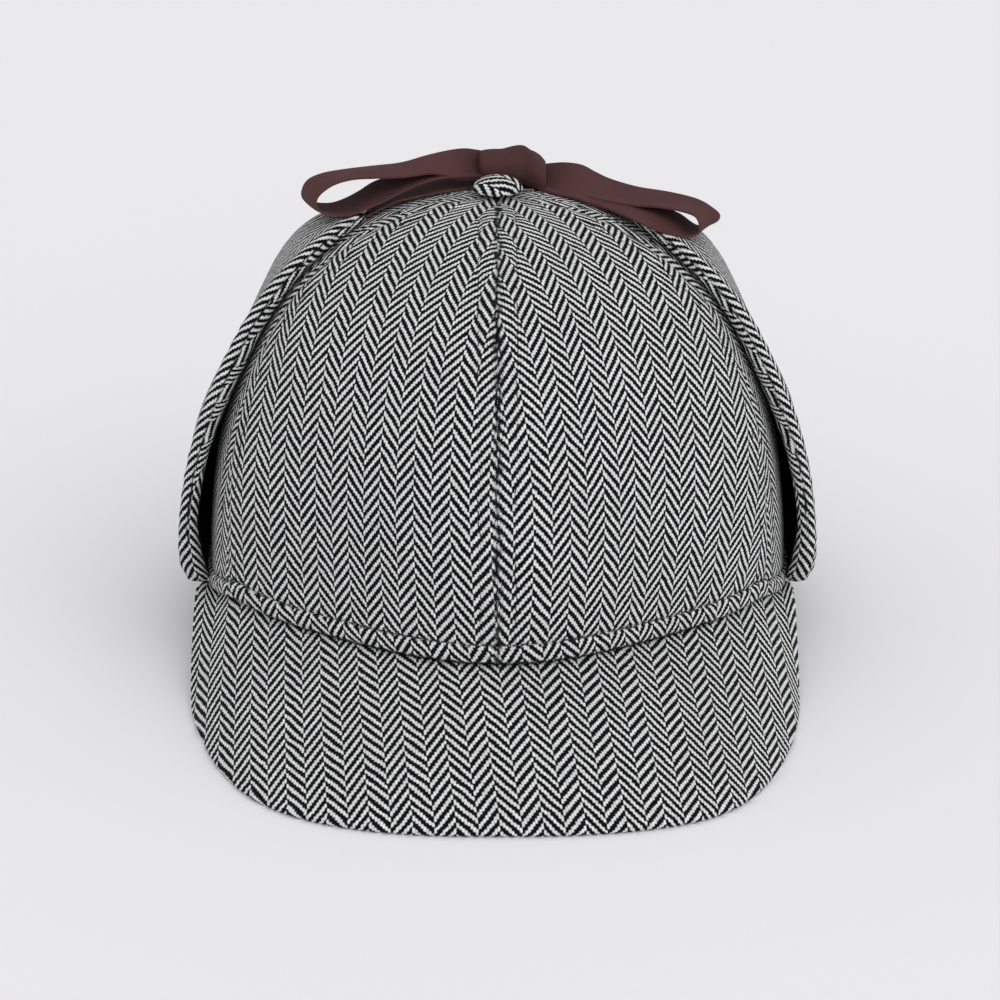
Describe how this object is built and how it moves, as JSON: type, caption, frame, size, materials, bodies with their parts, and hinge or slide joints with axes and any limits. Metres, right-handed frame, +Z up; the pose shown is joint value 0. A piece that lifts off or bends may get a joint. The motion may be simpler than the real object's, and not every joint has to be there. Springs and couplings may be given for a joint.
{
  "type": "deerstalker hat",
  "caption": "Deerstalker hat of herringbone wool with a peak front and rear, its ear flaps turned up and tied over the crown with a ribbon bow.",
  "frame": {"origin": "on the floor, under the middle of the hat", "axes": "+Z up out of the crown; the wearer faces -Y, so the front peak points along -Y; +X is the wearer's left"},
  "size_m": [0.1916, 0.303, 0.1458],
  "materials": {
    "wool": "woven black and white herringbone wool, matt",
    "lining": "thin black lining cloth",
    "ribbon": "dark brown grosgrain, faint sheen"
  },
  "bodies": {
    "root": {"crown_panel_front_left": "wool", "crown_panel_front_right": "wool", "crown_panel_side_left": "wool", "crown_panel_side_right": "wool", "crown_panel_rear_left": "wool", "crown_panel_rear_right": "wool", "peak_front": "wool", "peak_rear": "wool", "ear_flap_left": "wool", "ear_flap_right": "wool", "flap_lining_left": "lining", "flap_lining_right": "lining", "crown_button": "wool", "ribbon_tie_left": "ribbon", "ribbon_tie_right": "ribbon", "bow_knot": "ribbon", "bow_loop_left": "ribbon", "bow_loop_right": "ribbon", "bow_tail_left": "ribbon", "bow_tail_right": "ribbon"}
  },
  "joints": []
}
